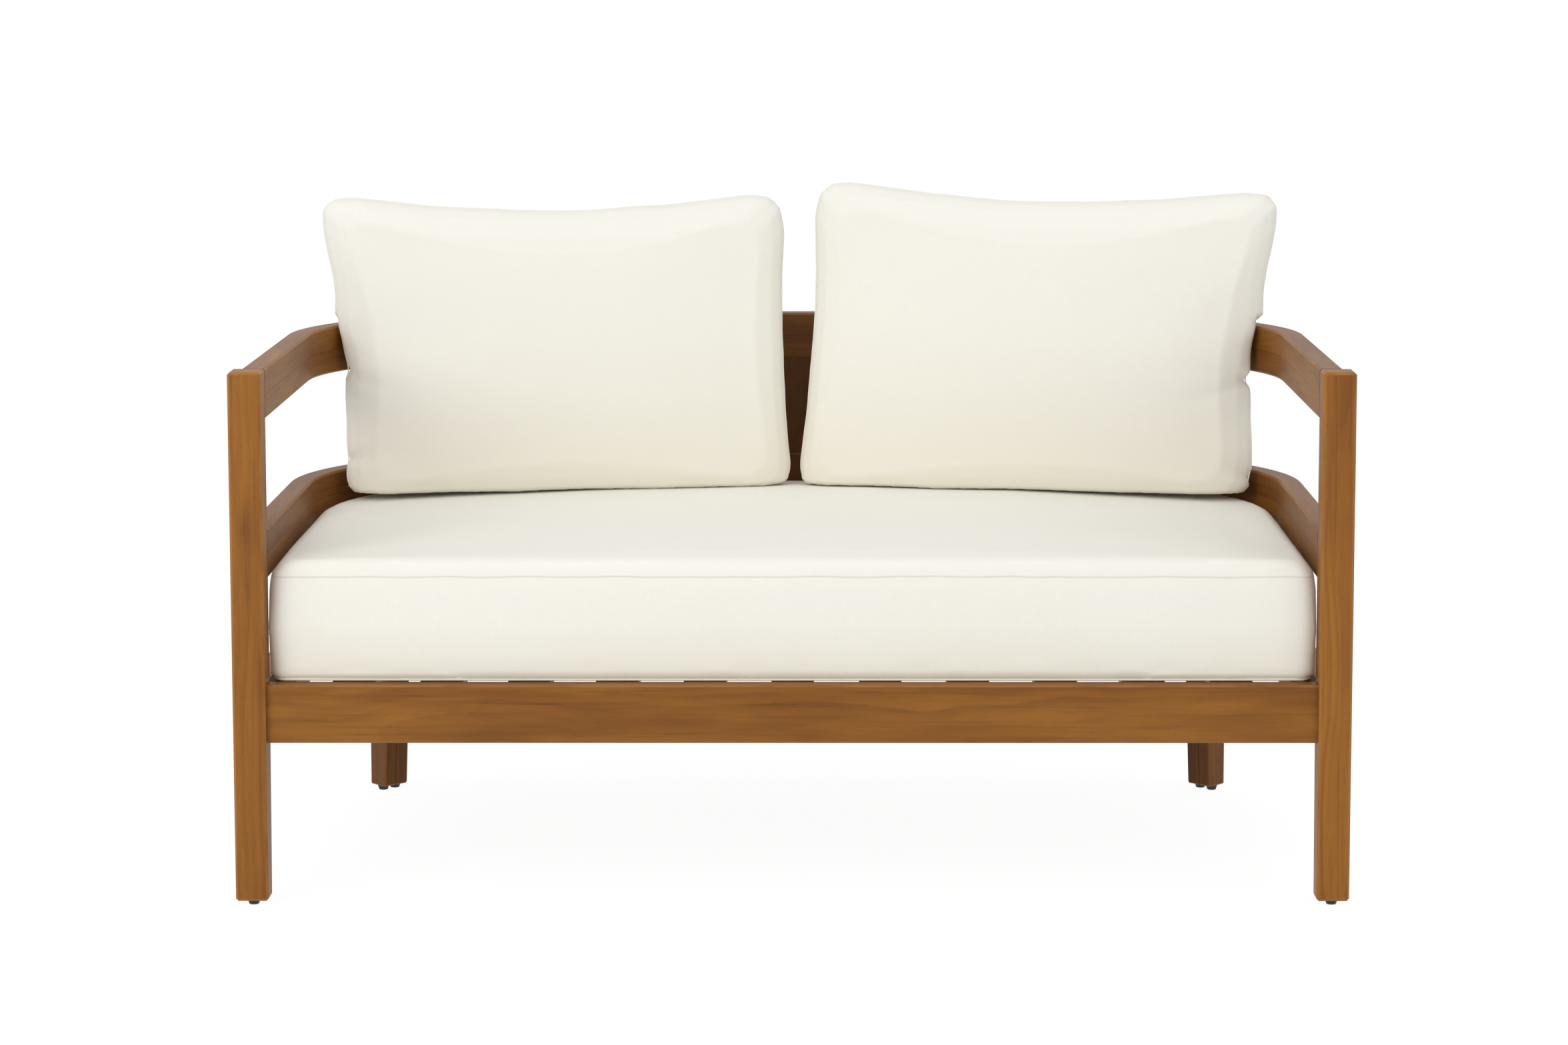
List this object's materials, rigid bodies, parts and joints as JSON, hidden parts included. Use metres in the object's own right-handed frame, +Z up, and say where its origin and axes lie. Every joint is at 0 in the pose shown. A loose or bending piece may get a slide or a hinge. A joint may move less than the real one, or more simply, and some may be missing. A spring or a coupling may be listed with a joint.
{
  "type": "patio loveseat",
  "caption": "Wooden garden loveseat with square front legs, rails that curve round the rear corners, a slatted deck, a boxed seat cushion and loose back cushions.",
  "frame": {"origin": "on the floor, under the middle of the sofa's outer box", "axes": "+X to the right of someone who faces the sofa from behind (the left of someone seated is -X), +Y from the front to the back, +Z up"},
  "size_m": [1.36, 0.75, 0.8451],
  "materials": {
    "wood": "satin",
    "glide_plastic": "matte",
    "bolt_steel": "satin",
    "seat_fabric": "matte",
    "back_fabric": "matte"
  },
  "bodies": {
    "frame": {"arm_rail_left": "wood", "arm_rail_right": "wood", "back_apron": "wood", "back_centre_stile": "wood", "back_cleat": "wood", "back_leg_left": "wood", "back_leg_right": "wood", "back_lower_rail": "wood", "back_top_rail": "wood", "corner_block_left": "wood", "corner_block_right": "wood", "deck_batten": "wood", "frame_bolts": "bolt_steel", "front_apron": "wood", "front_cleat": "wood", "front_leg_left": "wood", "front_leg_right": "wood", "leg_glides": "glide_plastic", "lower_arm_rail_left": "wood", "lower_arm_rail_right": "wood", "seat_slat_01": "wood", "seat_slat_02": "wood", "seat_slat_03": "wood", "seat_slat_04": "wood", "seat_slat_05": "wood", "seat_slat_06": "wood", "seat_slat_07": "wood", "seat_slat_08": "wood", "seat_slat_09": "wood", "seat_slat_10": "wood", "seat_slat_11": "wood", "side_apron_left": "wood", "side_apron_right": "wood", "side_cleat_left": "wood", "side_cleat_right": "wood", "side_rear_leg_left": "wood", "side_rear_leg_right": "wood"},
    "seat_cushion": {"seat_cushion": "seat_fabric"},
    "back_cushion_left": {"back_cushion_left": "back_fabric"},
    "back_cushion_right": {"back_cushion_right": "back_fabric"}
  },
  "joints": [
    {"name": "seat_cushion_lift", "type": "slide", "parent": "frame", "child": "seat_cushion", "axis": [0, 0, 1], "range_m": [0, 0.4]},
    {"name": "back_cushion_left_lift", "type": "slide", "parent": "seat_cushion", "child": "back_cushion_left", "axis": [0, 0, 1], "range_m": [0, 0.25]},
    {"name": "back_cushion_right_lift", "type": "slide", "parent": "seat_cushion", "child": "back_cushion_right", "axis": [0, 0, 1], "range_m": [0, 0.25]}
  ]
}
